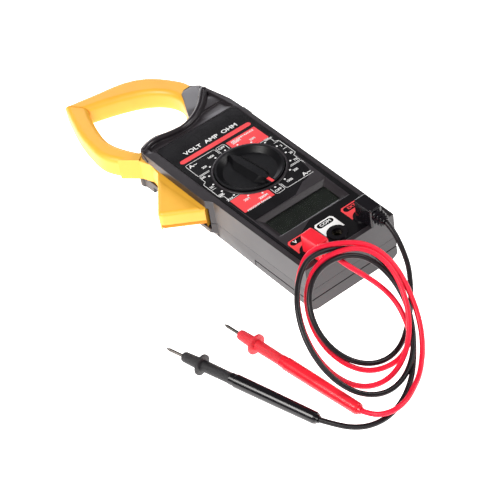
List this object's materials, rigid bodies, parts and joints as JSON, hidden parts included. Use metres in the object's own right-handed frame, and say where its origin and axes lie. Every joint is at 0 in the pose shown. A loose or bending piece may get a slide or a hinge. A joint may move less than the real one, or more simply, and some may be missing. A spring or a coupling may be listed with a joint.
{
  "type": "clamp meter",
  "caption": "Hand-held clamp meter with a yellow trigger-opened jaw, rotary selector, blank display, and red and black test leads coiled in front of it.",
  "frame": {"origin": "on the flat back face, straight under the axis of the rotary selector", "axes": "+Z out of the front face, +Y from the bottom end towards the jaws, -X towards the trigger"},
  "size_m": [0.1439, 0.3219, 0.0501],
  "materials": {
    "case_black": "fine satin moulding",
    "cover_black": "fine satin moulding",
    "jaw_yellow": "satin amber yellow",
    "knob_black": "satin black",
    "label_black": "printed, gloss",
    "red_plastic": "gloss red",
    "black_plastic": "gloss black",
    "red_lead": "soft insulation",
    "black_lead": "soft insulation",
    "steel": "plated",
    "spring_steel": "bright wire",
    "core_steel": "laminated",
    "brass": "bright",
    "copper": "enamelled copper wire",
    "clear": "clear",
    "lcd": "dark grey-green",
    "board_green": "solder resist",
    "chip_black": "moulded",
    "white_plastic": "moulded",
    "grey_rubber": "soft",
    "battery_case": "painted tin",
    "nickel": "nickel plate"
  },
  "bodies": {
    "case": {"battery": "battery_case", "battery_cover": "cover_black", "battery_cover_screw": "steel", "battery_snap": "black_plastic", "battery_terminals": "steel", "battery_wires": "black_lead", "black_lead_end": "black_lead", "black_lead_start": "black_lead", "black_plug": "black_plastic", "black_plug_pin": "nickel", "black_probe_boot": "black_plastic", "black_probe_grip": "black_plastic", "black_probe_handle": "black_plastic", "black_probe_tip": "nickel", "board_screws": "steel", "buzzer": "chip_black", "case_screws": "steel", "circuit_board": "board_green", "display_strips": "grey_rubber", "face_label": "label_black", "fixed_core": "core_steel", "fixed_jaw_front": "jaw_yellow", "fixed_jaw_rear": "jaw_yellow", "front_shell": "case_black", "fuse": "clear", "hold_spring": "spring_steel", "hold_switch": "chip_black", "jack_contacts": "brass", "jack_housings": "knob_black", "jack_sleeves": "chip_black", "jaw_pivot_pin": "steel", "lcd_frame": "white_plastic", "lcd_panel": "lcd", "lcd_window": "clear", "lead_coil": "red_lead", "measuring_chip": "chip_black", "rear_shell": "case_black", "red_lead_end": "red_lead", "red_lead_start": "red_lead", "red_plug": "red_plastic", "red_plug_pin": "nickel", "red_probe_boot": "red_plastic", "red_probe_grip": "red_plastic", "red_probe_handle": "red_plastic", "red_probe_tip": "nickel", "trimmer": "white_plastic", "winding": "copper", "winding_bobbin": "white_plastic"},
    "moving_jaw": {"moving_jaw_front": "jaw_yellow", "moving_jaw_rear": "jaw_yellow", "moving_core": "core_steel", "jaw_screws": "steel", "jaw_spring": "spring_steel"},
    "selector": {"rotary_knob": "knob_black", "knob_pointer": "red_plastic", "detent_springs": "spring_steel", "detent_balls": "steel", "knob_contacts": "brass", "knob_clip": "steel"},
    "hold_button": {"hold_button": "case_black"}
  },
  "joints": [
    {"name": "jaw_hinge", "type": "hinge", "parent": "case", "child": "moving_jaw", "pos_m": [-0.025, 0.044, 0.01875], "axis": [0, 0, 1], "range_deg": [0, 30], "stiffness_Nm_per_rad": 0.6, "springref_deg": -20.05},
    {"name": "selector_turn", "type": "hinge", "parent": "case", "child": "selector", "pos_m": [0, 0, 0.03], "axis": [0, 0, 1], "continuous": true},
    {"name": "hold_press", "type": "slide", "parent": "case", "child": "hold_button", "axis": [-1, 0, 0], "range_m": [0, 0.001], "stiffness_N_per_m": 500, "springref_m": -0.002}
  ]
}
